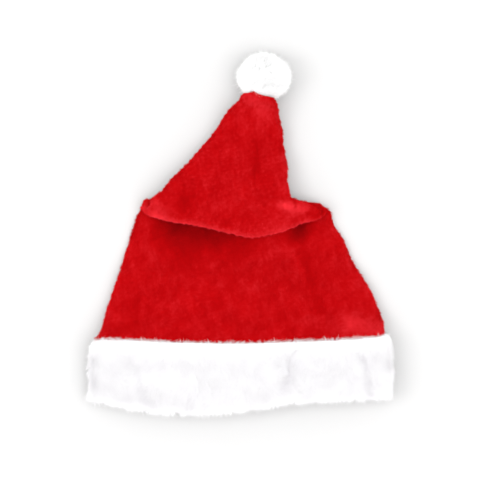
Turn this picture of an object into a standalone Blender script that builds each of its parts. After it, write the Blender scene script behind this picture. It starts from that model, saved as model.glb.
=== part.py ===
"""A plush santa hat lying flat on its back, its tip folded down over the front and up again.

Metres, +Z up. The hat lies on the plane z = 0, its front up. +Y runs from the mouth to the pompom,
and the origin is the middle of the hat's outline on that plane.
"""

import copy
import math
import random

import bmesh
import bpy
from mathutils import Vector

# Crown: the red cone.
CROWN_WIDTH = 0.2820  # across the lying crown where the cuff holds it
BODY_LENGTH = 0.1300  # from the cuff's top edge to the shoulder fold
SHOULDER_TILT = 0.0025  # how much lower the shoulder fold's right end is than its left end
SHOULDER_CORNER = 0.0070  # rounding of the shoulder fold's ends
LAP_DROP = 0.0190  # how far the folded lap hangs below the shoulder at its lowest
LAP_GAP = 0.0006  # between the shoulder's crease and the lap's, where the fold runs out
TIP_LENGTH = 0.1200  # from the shoulder to the end of the tip
CLOTH = 0.0025  # short plush, pile and backing
FOLD_HOLLOW = 0.0026  # clear height inside the folded cloth
LAYER_GAP = 0.0007  # between the folded layers
TIP_PLUMP = 0.0085  # what the tip's roundness adds to its folded thickness
DENT_DEPTH = 0.0026

# Cuff: the white band, an outer leg of plush and a facing turned in over the crown's hem.
CUFF_HEIGHT = 0.0584  # from the rim's ends to the lowest place of the top edge
RIM_BOW = 0.0146  # how far the rim bows out below its ends
TOP_BOW = 0.0073  # how far the top edge dips below its right end
CUFF_PILE = 0.0080  # outer leg, pile and backing
FACING = 0.0022  # cloth turned in at the rim
FACING_HEIGHT = 0.0300
HEM_INSET = 0.0090  # from the rim up to the crown's hem
MOUTH_HEIGHT = 0.0120  # clear height inside the lying cuff
LOCK_RELIEF = 0.0032  # tufts of the cuff's pile
CREASE_DEPTH = 0.0034
SEAM_GAP = 0.0004  # clearance between sewn pieces

# Pompom.
POMPOM_WIDTH = 0.0550
POMPOM_LENGTH = 0.0525
POMPOM_HEIGHT = 0.0460
POMPOM_LOCK = 0.0030  # how far its tufts stand out
POMPOM_DIMPLE = 0.0085  # how deep the tip parts the tufts
POMPOM_SIDE_STEP = 0.0078  # how far the ball's middle lies to the right of the tip's end
POMPOM_BEYOND_TIP = 0.0130  # how far the ball's middle lies past the tip's end
SEAT_SHARE = 0.62  # of the ball's height, where the tip's back meets it

# Facets.
FLAT_STEPS = 18  # across the flat of a section, front or back
ROLL_STEPS = 3  # in a quarter turn at a section's edge
BEND_STEPS = 5  # in each half-turn fold
BODY_STEPS = 8
TIP_STEPS = 13
CUFF_STEPS = 9  # up the cuff's outer face, every second one with a row of tufts
SOCKET_SECTIONS = 5  # of the tip, inside the pompom's reach

HALF_CROWN = CROWN_WIDTH / 2
FOLDED = 2 * CLOTH + FOLD_HOLLOW
HALF_FOLDED = FOLDED / 2
BEND_RADIUS = HALF_FOLDED + LAYER_GAP / 2
STACK = 4 * BEND_RADIUS  # height of the two layers that the upper layer lies on
HEM_LIFT = CUFF_PILE + SEAM_GAP  # the hem's back above the table
HEM_THICKNESS = 2 * (CLOTH + SEAM_GAP + FACING) + MOUTH_HEIGHT

# Outlines across the lying hat. Across runs from -1 at the left edge to 1 at the right edge.
RIM_LINE = (  # bow: share of RIM_BOW
    # across, bow
    (-1.00, 0.10),
    (-0.86, 0.32),
    (-0.70, 0.72),
    (-0.50, 0.98),
    (-0.25, 1.00),
    (0.00, 0.84),
    (0.40, 0.42),
    (0.80, 0.16),
    (1.00, 0.05),
)
TOP_LINE = (  # bow: share of TOP_BOW
    (-1.00, 0.54),
    (-0.73, 0.66),
    (-0.50, 0.86),
    (-0.20, 1.00),
    (0.10, 1.00),
    (0.40, 0.80),
    (0.70, 0.58),
    (0.90, 0.28),
    (1.00, 0.00),
)
LAP_LINE = (  # drop: share of LAP_DROP
    (-1.00, 0.00),
    (-0.92, 0.03),
    (-0.81, 0.16),
    (-0.62, 0.32),
    (-0.45, 0.40),
    (-0.15, 0.69),
    (0.05, 0.89),
    (0.22, 1.00),
    (0.39, 0.86),
    (0.55, 0.60),
    (0.70, 0.24),
    (0.82, 0.03),
    (1.00, 0.00),
)

# Body of the crown, from the cuff to the shoulder. Along is a share of BODY_LENGTH, left and right
# are shares of HALF_CROWN, lift of HEM_LIFT, and plump of what the hem is thicker than the fold.
BODY_ROWS = (
    # along, left, right, lift, plump
    (0.00, -0.977, 1.000, 1.00, 1.00),
    (0.10, -0.953, 0.992, 0.55, 0.97),
    (0.22, -0.920, 0.958, 0.08, 0.95),
    (0.35, -0.880, 0.908, 0.00, 0.88),
    (0.50, -0.833, 0.826, 0.00, 0.62),
    (0.63, -0.797, 0.768, 0.00, 0.22),
    (0.75, -0.764, 0.715, 0.00, 0.00),
    (0.88, -0.730, 0.650, 0.00, 0.00),
    (1.00, -0.690, 0.628, 0.00, 0.00),
)

# Tip of the crown, from the lap's crease to its end in the pompom. Rise is a share of TIP_LENGTH,
# sag the share of the lap's drop that is left, stack and seat place the row's back on the layers
# below it and up at the pompom's seat, and plump is a share of TIP_PLUMP.
TIP_ROWS = (
    # rise, left, right, sag, stack, seat, plump
    (0.000, -0.677, 0.600, 1.00, 1.00, 0.00, 0.00),
    (0.012, -0.676, 0.545, 0.97, 1.00, 0.00, 0.02),
    (0.045, -0.668, 0.430, 0.88, 1.00, 0.00, 0.12),
    (0.092, -0.608, 0.362, 0.70, 1.00, 0.00, 0.30),
    (0.141, -0.553, 0.346, 0.54, 0.97, 0.00, 0.50),
    (0.238, -0.470, 0.332, 0.30, 0.80, 0.00, 0.75),
    (0.336, -0.387, 0.325, 0.16, 0.55, 0.02, 0.90),
    (0.432, -0.318, 0.311, 0.07, 0.33, 0.05, 0.97),
    (0.530, -0.242, 0.297, 0.02, 0.17, 0.09, 1.00),
    (0.628, -0.173, 0.283, 0.00, 0.08, 0.16, 1.00),
    (0.725, -0.124, 0.269, 0.00, 0.03, 0.28, 0.98),
    (0.822, -0.062, 0.256, 0.00, 0.00, 0.50, 0.92),
    (0.890, -0.020, 0.246, 0.00, 0.00, 0.74, 0.80),
    (0.930, 0.002, 0.222, 0.00, 0.00, 0.88, 0.62),
    (0.965, 0.030, 0.190, 0.00, 0.00, 1.00, 0.35),
)

# Soft dents in the crown's upturned front. From and to are (across, along), width is in the same
# shares, and depth is a share of DENT_DEPTH.
DENTS = (
    # from across, from along, to across, to along, width, depth
    (0.46, 0.62, 0.62, 0.20, 0.075, 1.00),
    (-0.66, 0.42, -0.78, 0.12, 0.060, 0.70),
    (-0.10, 0.30, 0.18, 0.24, 0.120, 0.46),
)
# Creases in the cuff's front, in the same columns, with along a share of the cuff's height and
# depth a share of CREASE_DEPTH.
CREASES = (
    (0.28, 0.30, 0.39, 0.92, 0.030, 0.82),
    (0.84, 0.00, 0.83, 0.85, 0.022, 1.00),
    (-0.80, 0.90, -0.58, 0.10, 0.040, 0.53),
)

RED = (0.560, 0.004, 0.008)
WHITE = (0.880, 0.880, 0.890)


def smooth_table(rows, at):
    """The row of a table at this value of its first column, on a smooth curve through its rows."""
    at = min(max(at, rows[0][0]), rows[-1][0])
    first = max(i for i in range(len(rows) - 1) if rows[i][0] <= at)

    def slope(i, column):
        before, after = rows[max(i - 1, 0)], rows[min(i + 1, len(rows) - 1)]
        return (after[column] - before[column]) / (after[0] - before[0])

    low, high = rows[first], rows[first + 1]
    span = high[0] - low[0]
    s = (at - low[0]) / span
    found = []
    for column in range(1, len(rows[0])):
        start, end = low[column], high[column]
        rate_in, rate_out = slope(first, column) * span, slope(first + 1, column) * span
        found.append(
            start * (1 + 2 * s) * (1 - s) ** 2
            + rate_in * s * (1 - s) ** 2
            + end * s * s * (3 - 2 * s)
            + rate_out * s * s * (s - 1)
        )
    return found


def ease(value):
    value = min(max(value, 0.0), 1.0)
    return value * value * (3 - 2 * value)


class Section:
    """One closed loop round the flattened tube: two flats joined by rolled edges."""

    def __init__(self, left, right, line, level, up, down, roll=HALF_FOLDED, pitch=0.0, dents=()):
        self.left, self.right = left, right  # edges
        self.line = line  # y of the loop's own line, for a given across
        self.level = level  # z of the loop's edges
        self.up, self.down = up, down  # height of front and back over the level
        self.roll = min(roll, up, down)  # radius of the edges
        self.pitch = pitch  # how far the tube has turned upward out of the table's plane
        self.dents = dents  # a function of across that gives the front's depth of dent

    def loop(self, grow=0.0):
        """Points from the right edge over the front to the left and back underneath."""
        middle, half = (self.left + self.right) / 2, (self.right - self.left) / 2
        flat_half, roll = half - self.roll, self.roll + grow
        quarter = [math.pi / 2 * k / ROLL_STEPS for k in range(ROLL_STEPS)]
        edge = [(flat_half + roll * math.cos(a), math.sin(a)) for a in quarter]
        flat = [(flat_half * (1 - 2 * k / FLAT_STEPS), 1.0) for k in range(FLAT_STEPS + 1)]
        upper = edge + flat + [(-x, turn) for x, turn in reversed(edge)]
        lower = [(-x, -turn) for x, turn in upper[1:-1]]
        points = []
        for x, turn in upper + lower:
            across = min(max(x / half, -1.0), 1.0)
            rise = turn * roll + self.arch(across, turn)
            points.append(
                Vector((
                    middle + x,
                    self.line(across) - math.sin(self.pitch) * rise,
                    self.level + math.cos(self.pitch) * rise,
                ))
            )
        return points

    def centre(self):
        return Vector(((self.left + self.right) / 2, self.line(0.0), self.level))

    def arch(self, across, turn):
        """What stands over the rolled edge's own radius: a crowned front, and a back pressed flat."""
        if turn > 0:
            return turn * (self.up - self.roll) * (1 - abs(across) ** 2.6) - turn * self.dent(across)
        return turn * (self.down - self.roll) * ease((1 - abs(across)) / 0.22)

    def dent(self, across):
        return self.dents(across) if self.dents else 0.0


def valley(table, deepest, along):
    """A function of across: how deep the table's soft valleys are at this place along the piece."""

    def depth_at(across):
        total = 0.0
        for from_across, from_along, to_across, to_along, width, depth in table:
            run = Vector((to_across - from_across, to_along - from_along))
            place = Vector((across - from_across, along - from_along))
            share = min(max(place.dot(run) / run.length_squared, 0.0), 1.0)
            distance = (place - share * run).length
            total += depth * math.exp(-((distance / width) ** 2))
        return total * deepest

    return depth_at


# Lines across the hat, as functions of across. Y starts from 0 at the rim's ends.
def rim_line(across):
    return -RIM_BOW * smooth_table(RIM_LINE, across)[0]


def top_line(across):
    return CUFF_HEIGHT + TOP_BOW - TOP_BOW * smooth_table(TOP_LINE, across)[0]


def shoulder_line(across):
    return CUFF_HEIGHT + BODY_LENGTH - SHOULDER_TILT * (across + 1) / 2


def lap_line(across, rise=0.0, sag=1.0):
    ends = shoulder_line(across) - LAP_GAP
    level_ends = ends + (1 - sag) * SHOULDER_TILT * across / 2
    return level_ends + rise - sag * LAP_DROP * smooth_table(LAP_LINE, across)[0]


def hem_section(line):
    """The crown where the cuff holds it. Each ring of the cuff is an offset of this one."""
    half = HEM_THICKNESS / 2
    left, right = (HALF_CROWN * share for share in (-1.0, 1.0))
    return Section(left, right, line, HEM_LIFT + half, half, half, roll=half * 0.72)


def hem_line(across):
    return rim_line(across) + HEM_INSET + SEAM_GAP


def body_section(along):
    left, right, lift, plump = smooth_table(BODY_ROWS, along)
    thickness = FOLDED + max(plump, 0.0) * (HEM_THICKNESS - FOLDED)
    down = max(HALF_FOLDED, thickness * (0.40 + 0.10 * lift))
    roll = HALF_FOLDED + (HEM_THICKNESS * 0.36 - HALF_FOLDED) * ease(lift)

    def line(across):
        return top_line(across) + along * (shoulder_line(across) - top_line(across))

    return Section(
        HALF_CROWN * left,
        HALF_CROWN * right,
        line,
        max(lift, 0.0) * HEM_LIFT + down,
        thickness - down,
        down,
        roll=roll,
        dents=valley(DENTS, DENT_DEPTH, along),
    )


def bend_sections(line, centre, turn_from, edges, outward, corner=0.0):
    """A half turn of the tube round a line at the height centre, leaning out along +Y or -Y."""
    for step in range(BEND_STEPS + 1):
        pitch = turn_from + outward * math.pi * step / BEND_STEPS
        shares = (1 - step / BEND_STEPS, step / BEND_STEPS)
        left, right = (shares[0] * edges[0][side] + shares[1] * edges[1][side] for side in (0, 1))
        inward = corner * math.sin(math.pi * step / BEND_STEPS)

        def place(across, pitch=pitch):
            return line(across) + outward * BEND_RADIUS * abs(math.sin(pitch))

        level = centre - outward * BEND_RADIUS * math.cos(pitch)
        yield Section(
            left + inward, right - inward, place, level, HALF_FOLDED, HALF_FOLDED, pitch=pitch
        )


def tip_section(rise):
    left, right, sag, stack, seat, plump = smooth_table(TIP_ROWS, rise)
    thickness = FOLDED + max(plump, 0.0) * TIP_PLUMP
    low = max(stack, 0.0) * STACK + max(seat, 0.0) * SEAT_SHARE * POMPOM_HEIGHT
    down = thickness / 2

    def line(across):
        return lap_line(across, rise * TIP_LENGTH, max(sag, 0.0))

    return Section(
        HALF_CROWN * left,
        HALF_CROWN * right,
        line,
        low + down,
        down,
        down,
        roll=HALF_FOLDED + 0.5 * max(plump, 0.0) * TIP_PLUMP,
    )


def tip_sections():
    """From just past the lap's crease to the tip's end, closer together near the crease."""
    shares = [step / TIP_STEPS for step in range(1, TIP_STEPS + 1)]
    return [tip_section(TIP_ROWS[-1][0] * share**1.5) for share in shares]


def crown_sections():
    sections = [hem_section(hem_line), hem_section(top_line)]
    sections += [body_section(step / BODY_STEPS) for step in range(1, BODY_STEPS)]
    shoulder, crease = (
        [HALF_CROWN * share for share in row[1:3]] for row in (BODY_ROWS[-1], TIP_ROWS[0])
    )
    low_bend, high_bend = HALF_FOLDED + BEND_RADIUS, HALF_FOLDED + 3 * BEND_RADIUS
    sections += bend_sections(shoulder_line, low_bend, 0.0, (shoulder, shoulder), 1, SHOULDER_CORNER)
    sections += bend_sections(lap_line, high_bend, math.pi, (shoulder, crease), -1)
    return sections + tip_sections()


def new_object(name, mesh_data, colour, roughness, collection):
    """An object in the collection, smooth, with its own material."""
    mesh = bpy.data.meshes.new(name)
    mesh_data.to_mesh(mesh)
    mesh_data.free()
    mesh.shade_smooth()
    obj = bpy.data.objects.new(name, mesh)
    collection.objects.link(obj)
    material = bpy.data.materials.new(name)
    material.use_nodes = True
    shader = material.node_tree.nodes["Principled BSDF"]
    shader.inputs["Base Color"].default_value = (*colour, 1.0)
    shader.inputs["Roughness"].default_value = roughness
    shader.inputs["Metallic"].default_value = 0.0
    mesh.materials.append(material)
    return obj


def loft(loops, wrap=False, close_start=False, close_end=False):
    """A surface through closed loops of as many points each. wrap joins the last loop to the first."""
    shape = bmesh.new()
    rings = [[shape.verts.new(point) for point in loop] for loop in loops]
    pairs = list(zip(rings, rings[1:])) + ([(rings[-1], rings[0])] if wrap else [])
    for near, far in pairs:
        count = len(near)
        for k in range(count):
            nxt = (k + 1) % count
            shape.faces.new((near[k], near[nxt], far[nxt], far[k]))
    for closed, ring in ((close_start, rings[0]), (close_end, rings[-1])):
        if closed:
            middle = shape.verts.new(sum((v.co for v in ring), Vector()) / len(ring))
            for k, corner in enumerate(ring):
                shape.faces.new((corner, ring[(k + 1) % len(ring)], middle))
    bmesh.ops.recalc_face_normals(shape, faces=shape.faces)
    return shape


def lining_sections(sections):
    """The same loops for the wall's inner face. Where an edge slants, it moves in by more, so that
    the wall keeps its thickness there."""
    inner = []
    for k, section in enumerate(sections):
        before, after = sections[max(k - 1, 0)], sections[min(k + 1, len(sections) - 1)]
        run = (after.centre() - before.centre()).length
        lined = copy.copy(section)
        for side, sign in (("left", 1), ("right", -1)):
            slant = (getattr(after, side) - getattr(before, side)) / run
            extra = CLOTH * (math.hypot(1.0, min(abs(slant), 3.0)) - 1)
            setattr(lined, side, getattr(section, side) + sign * extra)
        inner.append(lined)
    return inner


def crown(collection):
    sections = crown_sections()
    outer = [section.loop() for section in sections]
    inner = [section.loop(grow=-CLOTH) for section in lining_sections(sections)[:-1]]
    return new_object(
        "crown", loft(inner[::-1] + outer, close_start=True, close_end=True), RED, 0.9, collection
    )


def cuff(collection):
    """The band's section runs up its outer face, over its top edge, down the slot that holds the
    crown's hem, up the other side of the slot, down the facing and round the rim."""
    chance = random.Random(4)
    outside = SEAM_GAP + CUFF_PILE
    slot_in = -CLOTH - SEAM_GAP
    inside = slot_in - FACING
    rim_round = (outside - inside) / 2
    top_round = CUFF_PILE * 0.45

    def ring(offset, line, lock_row=None, share=0.0):
        corners = hem_section(line).loop(grow=offset)
        halfway = [(a + b) / 2 for a, b in zip(corners, corners[1:] + corners[:1])]
        points = [point for pair in zip(corners, halfway) for point in pair]
        if lock_row is None:
            return points
        creases = valley(CREASES, CREASE_DEPTH, share)
        middle = Vector((0.0, 0.0, HEM_LIFT + HEM_THICKNESS / 2))
        for k, point in enumerate(points):
            if point.z < middle.z * 0.35:
                point.z = max(point.z, 0.0)
                continue
            raised = lock_row % 2 and (k + lock_row // 2) % 2
            tuft = LOCK_RELIEF * (chance.uniform(0.4, 0.8) if raised else chance.uniform(-0.3, -0.1))
            across = point.x / (HALF_CROWN + outside)
            away = Vector((across * abs(across) ** 7, 0.0, 1.0 - abs(across) ** 7)).normalized()
            point += away * (tuft - creases(across) * (point.z > middle.z))
        return points

    rings = []
    for row in range(CUFF_STEPS):
        share = row / (CUFF_STEPS - 1)

        def line(across, share=share):
            low, high = rim_line(across) + rim_round, top_line(across) - top_round
            return low + share * (high - low)

        rings.append(ring(outside, line, row, share))
    rings.append(ring(SEAM_GAP + CUFF_PILE * 0.72, lambda across: top_line(across) - top_round * 0.2))
    rings.append(ring(SEAM_GAP + CUFF_PILE * 0.30, top_line))
    rings.append(ring(SEAM_GAP, lambda across: top_line(across) - top_round * 0.6))
    rings.append(ring(SEAM_GAP, lambda across: rim_line(across) + HEM_INSET))
    rings.append(ring(slot_in, lambda across: rim_line(across) + HEM_INSET))
    rings.append(ring(slot_in, lambda across: rim_line(across) + FACING_HEIGHT))
    rings.append(ring(inside, lambda across: rim_line(across) + FACING_HEIGHT - FACING / 2))
    rings.append(ring(inside, lambda across: rim_line(across) + rim_round))
    for turn in (0.25, 0.5, 0.75):
        offset = (outside + inside) / 2 - rim_round * math.cos(math.pi * turn)
        depth = rim_round * (1 - math.sin(math.pi * turn))
        rings.append(ring(offset, lambda across, depth=depth: rim_line(across) + depth))
    return new_object("cuff", loft(rings, wrap=True), WHITE, 0.95, collection)


def pompom_middle():
    """The ball's middle, from where the tip ends."""
    end = tip_sections()[-1]
    tip_x = (end.left + end.right) / 2
    return Vector((tip_x + POMPOM_SIDE_STEP, end.line(0.0) + POMPOM_BEYOND_TIP, POMPOM_HEIGHT / 2))


def pompom(collection, cutters):
    """A ball of tufts. Each corner of a coarse ball is a tuft's end, and between them it is lower."""
    chance = random.Random(7)
    ball = bmesh.new()
    bmesh.ops.create_icosphere(ball, subdivisions=3, radius=1.0)
    tufts = len(ball.verts)
    bmesh.ops.subdivide_edges(ball, edges=ball.edges[:], cuts=1, use_grid_fill=True)
    radii = Vector((POMPOM_WIDTH, POMPOM_LENGTH, POMPOM_HEIGHT * 1.05)) / 2
    middle = pompom_middle()
    end = tip_sections()[-1]
    tip_end = Vector(((end.left + end.right) / 2, end.line(0.0) - POMPOM_LENGTH / 3, end.level + end.up))
    to_tip = (tip_end - middle).normalized()
    for number, vert in enumerate(ball.verts):
        outward = vert.co.normalized()
        shorter = chance.uniform(0.0, 0.3) if number < tufts else chance.uniform(0.8, 1.1)
        near_tip = math.exp(-((outward.angle(to_tip) / 0.62) ** 2))
        inward = shorter * POMPOM_LOCK + POMPOM_DIMPLE * near_tip
        vert.co = middle + Vector(outward[i] * (radii[i] - inward) for i in range(3))
        vert.co.z = max(vert.co.z, 0.0)
    obj = new_object("pompom", ball, WHITE, 0.95, collection)

    loops = [section.loop(grow=SEAM_GAP) for section in tip_sections()[-SOCKET_SECTIONS:]]
    loops.append([point + Vector((0.0, SEAM_GAP, 0.0)) for point in loops.pop()])
    socket_shape = loft(loops, close_start=True, close_end=True)
    cutter = new_object("tip_socket", socket_shape, RED, 0.9, cutters)
    cutter.hide_render = True
    cutter.display_type = "WIRE"
    socket = obj.modifiers.new("socket", "BOOLEAN")
    socket.operation = "DIFFERENCE"
    socket.object = cutter
    return obj


def main():
    for old in list(bpy.data.objects):
        bpy.data.objects.remove(old)
    hat = bpy.data.collections.new("santa_hat")
    cutters = bpy.data.collections.new("cutters")
    for collection in (hat, cutters):
        bpy.context.scene.collection.children.link(collection)
    pieces = [crown(hat), cuff(hat), pompom(hat, cutters)]

    # The middle of the outline becomes the origin.
    low_y = -RIM_BOW * max(row[1] for row in RIM_LINE)
    high_y = pompom_middle().y + POMPOM_LENGTH / 2
    for obj in [*pieces, *cutters.objects]:
        obj.location.y -= (low_y + high_y) / 2


main()
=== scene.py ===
"""A plush santa hat lying flat: fur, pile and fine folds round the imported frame."""

import math

import bmesh
import bpy
import numpy as np
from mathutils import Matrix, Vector
from mathutils.bvhtree import BVHTree
from mathutils.kdtree import KDTree


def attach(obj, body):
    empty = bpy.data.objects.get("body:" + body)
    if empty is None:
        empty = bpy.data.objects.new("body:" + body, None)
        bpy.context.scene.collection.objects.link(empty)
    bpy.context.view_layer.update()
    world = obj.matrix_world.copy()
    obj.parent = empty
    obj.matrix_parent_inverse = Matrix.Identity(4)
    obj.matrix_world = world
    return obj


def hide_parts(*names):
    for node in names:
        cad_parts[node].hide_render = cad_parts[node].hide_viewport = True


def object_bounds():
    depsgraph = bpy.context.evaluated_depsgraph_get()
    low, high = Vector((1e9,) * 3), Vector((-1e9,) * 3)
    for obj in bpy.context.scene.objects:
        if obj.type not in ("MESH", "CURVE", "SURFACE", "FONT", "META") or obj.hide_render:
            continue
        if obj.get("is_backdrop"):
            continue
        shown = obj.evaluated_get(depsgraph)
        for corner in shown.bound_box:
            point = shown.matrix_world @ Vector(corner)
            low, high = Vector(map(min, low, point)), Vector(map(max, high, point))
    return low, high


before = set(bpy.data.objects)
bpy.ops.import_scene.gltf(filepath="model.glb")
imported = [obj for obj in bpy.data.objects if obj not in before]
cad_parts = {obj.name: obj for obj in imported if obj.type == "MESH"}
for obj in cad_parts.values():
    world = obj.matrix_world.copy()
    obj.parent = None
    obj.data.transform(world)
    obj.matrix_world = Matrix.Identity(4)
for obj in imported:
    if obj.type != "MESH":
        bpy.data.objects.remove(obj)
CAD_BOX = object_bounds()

# Sizes of the frame's solids, in metres, as in the part's source. The tables follow it too, with
# small changes towards the outline that the photograph shows.
CROWN_WIDTH = 0.2820
BODY_LENGTH = 0.1300
SHOULDER_TILT = 0.0025
SHOULDER_DIP = 0.0024
SHOULDER_CORNERS = (0.0030, 0.0070)  # left and right
LAP_CORNERS = (0.0000, 0.0030)  # left and right
TURN_INSET = 0.0032  # how much narrower the cloth is at the right after its first fold
LAP_DROP = 0.0190
LAP_GAP = 0.0006
TIP_LENGTH = 0.1200
CLOTH = 0.0025
FOLD_HOLLOW = 0.0026
LAYER_GAP = 0.0007
TIP_PLUMP = 0.0085
CUFF_HEIGHT = 0.0584
RIM_BOW = 0.0146
TOP_BOW = 0.0073
CUFF_PILE = 0.0080
FACING = 0.0022
FACING_HEIGHT = 0.0300
HEM_INSET = 0.0090
MOUTH_HEIGHT = 0.0120
SEAM_GAP = 0.0004
POMPOM_WIDTH = 0.0550
POMPOM_LENGTH = 0.0525
POMPOM_HEIGHT = 0.0460
POMPOM_SIDE_STEP = 0.0048
POMPOM_BEYOND_TIP = 0.0130
POMPOM_SINK = 0.0012
SEAT_HEIGHT = 0.62

HALF_CROWN = CROWN_WIDTH / 2
FOLDED = 2 * CLOTH + FOLD_HOLLOW
HALF_FOLDED = FOLDED / 2
BEND_RADIUS = HALF_FOLDED + LAYER_GAP / 2
STACK = 4 * BEND_RADIUS
HEM_LIFT = CUFF_PILE + SEAM_GAP
HEM_THICKNESS = 2 * (CLOTH + SEAM_GAP + FACING) + MOUTH_HEIGHT
HEM_ROLL = 0.36 * HEM_THICKNESS
FRONT_ROUNDNESS = 2.6
BACK_EDGE = 0.22

RIM_LINE = (
    # across, bow
    (-1.00, 0.20),
    (-0.86, 0.42),
    (-0.70, 0.74),
    (-0.50, 0.96),
    (-0.25, 0.98),
    (0.00, 0.80),
    (0.25, 0.42),
    (0.50, 0.16),
    (0.80, 0.04),
    (1.00, 0.00),
)
TOP_LINE = (
    # across, bow
    (-1.00, 0.54),
    (-0.73, 0.66),
    (-0.50, 0.86),
    (-0.20, 1.00),
    (0.10, 1.00),
    (0.40, 0.80),
    (0.70, 0.58),
    (0.90, 0.28),
    (1.00, 0.00),
)
LAP_LINE = (
    # across, drop
    (-1.00, -0.10),
    (-0.92, 0.00),
    (-0.81, 0.15),
    (-0.62, 0.32),
    (-0.45, 0.40),
    (-0.15, 0.69),
    (0.05, 0.89),
    (0.22, 1.00),
    (0.39, 0.86),
    (0.55, 0.60),
    (0.70, 0.27),
    (0.82, 0.06),
    (1.00, -0.08),
)
BODY_ROWS = (
    # along, left, right, lift, plump
    (0.00, -0.977, 1.000, 1.00, 1.00),
    (0.10, -0.953, 0.992, 0.55, 0.97),
    (0.22, -0.920, 0.958, 0.08, 0.95),
    (0.35, -0.880, 0.908, 0.00, 0.88),
    (0.50, -0.833, 0.826, 0.00, 0.62),
    (0.63, -0.797, 0.768, 0.00, 0.22),
    (0.75, -0.764, 0.715, 0.00, 0.00),
    (0.88, -0.730, 0.650, 0.00, 0.00),
    (1.00, -0.690, 0.628, 0.00, 0.00),
)
TIP_ROWS = (
    # rise, left, right, sag, stack, seat, plump
    (0.000, -0.622, 0.562, 1.00, 1.00, 0.00, 0.00),
    (0.012, -0.620, 0.560, 0.97, 1.00, 0.00, 0.02),
    (0.045, -0.614, 0.532, 0.88, 1.00, 0.00, 0.12),
    (0.070, -0.603, 0.425, 0.78, 1.00, 0.00, 0.20),
    (0.092, -0.580, 0.362, 0.70, 1.00, 0.00, 0.30),
    (0.141, -0.533, 0.346, 0.54, 0.97, 0.00, 0.50),
    (0.238, -0.470, 0.332, 0.30, 0.80, 0.00, 0.75),
    (0.336, -0.387, 0.332, 0.16, 0.55, 0.02, 0.90),
    (0.432, -0.318, 0.319, 0.07, 0.33, 0.05, 0.97),
    (0.530, -0.242, 0.306, 0.02, 0.17, 0.09, 1.00),
    (0.628, -0.173, 0.293, 0.00, 0.08, 0.16, 1.00),
    (0.725, -0.120, 0.280, 0.00, 0.03, 0.28, 0.98),
    (0.822, -0.055, 0.268, 0.00, 0.00, 0.50, 0.92),
    (0.890, -0.015, 0.259, 0.00, 0.00, 0.74, 0.80),
    (0.930, 0.004, 0.248, 0.00, 0.00, 0.88, 0.62),
    (0.965, 0.030, 0.232, 0.00, 0.00, 1.00, 0.35),
)
TIP_END = TIP_ROWS[-1][0]
DENTS = (
    # from across, from along, to across, to along, width, depth
    (0.46, 0.62, 0.62, 0.20, 0.075, 0.0026),
    (-0.66, 0.42, -0.78, 0.12, 0.060, 0.0018),
    (-0.10, 0.30, 0.18, 0.24, 0.120, 0.0012),
)
CREASES = (
    # from across, from share of the height, to across, to share, width, depth
    (0.28, 0.30, 0.39, 0.92, 0.030, 0.0028),
    (0.89, 0.00, 0.84, 0.75, 0.022, 0.0030),
    (-0.80, 0.90, -0.62, 0.20, 0.034, 0.0014),
)

# Facets of the skins.
FLAT_STEPS = 60
ROLL_STEPS = 6
BEND_STEPS = 12
HEM_STEPS = 5
BODY_STEPS = 44
LAP_STEPS = 4
TIP_STEPS = 60
TIP_SPACING = 1.25  # over 1, so that the tip's rows lie closer together near the crease
CUFF_OUTER_ROWS = 18
CUFF_TOP_TURNS = (0.2, 0.4, 0.6, 0.8)
CUFF_FRONT_ROWS = CUFF_OUTER_ROWS + len(CUFF_TOP_TURNS)
CURVE_JOINTS = 3

# Slight folds of the skins: wavelength and height.
FOLD_WAVE, FOLD_HEIGHT = 0.060, 0.00045
FOLD_STRETCH = (1.0, 0.55, 0.8)
RIPPLE_WAVE, RIPPLE_HEIGHT = 0.022, 0.00022
CUFF_WAVE, CUFF_WAVE_HEIGHT = 0.036, 0.0004

# The skins lie below the solids' faces, and the pile fills the rest.
CROWN_SKIN = 0.0015
CUFF_SKIN = 0.0052
CUFF_RIM_INSET = 0.0085
CUFF_TOP_INSET = 0.0036
FACING_EDGE = 0.0010
POMPOM_CORE = 0.81
CROWN_SKIN_TONE, CUFF_SKIN_TONE, POMPOM_CORE_TONE = 0.42, 0.70, 0.96

# Strands of pile: how many, how long, how wide, how low above the table, and how far they lean over
# from the surface's normal, in radians. The tones are the tips' and how much darker the roots are
# painted, as painted shade deep in the pile.
STRANDS = {
    "crown_pile_body": 190000,
    "crown_pile_tip": 150000,
    "crown_pile_back": 90000,
    "cuff_pile_front": 62000,
    "cuff_pile_back": 36000,
    "pompom_pile": 40000,
}
CROWN_STRAND, CUFF_STRAND = 0.0042, 0.0084
CROWN_HALF_WIDTH, CUFF_HALF_WIDTH, POMPOM_HALF_WIDTH = 0.00022, 0.00017, 0.00019
CROWN_LOWEST, CUFF_LOWEST, POMPOM_LOWEST = 0.0001, 0.0002, 0.0003
CROWN_LEAN, CUFF_LEAN = 1.21, 0.98
CROWN_TONE, CROWN_ROOT_SHADE = 0.55, 0.12
CROWN_GRAIN = {"body": 0.018, "tip": 0.030}
CUFF_TONE, CUFF_ROOT_SHADE = 0.52, 0.16
POMPOM_TONE, POMPOM_ROOT_SHADE = 1.05, 0.06
# Tufts for each strand.
CUFF_TUFTS, POMPOM_TUFTS = 0.045, 0.020
# The cuff's pile changes towards its top: from which row, over how many, and how much lighter it is
# painted there, as painted light against the shade where its tips lie over the red.
TOP_PILE_START, TOP_PILE_ROWS, TOP_PILE_PAINTED_LIGHT = 11, 6, 0.25
# Pile is thin where cloth this near covers it.
COVER_REACH, COVER_START, COVER_SPREAD = 0.012, 0.0004, 0.85
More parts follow.
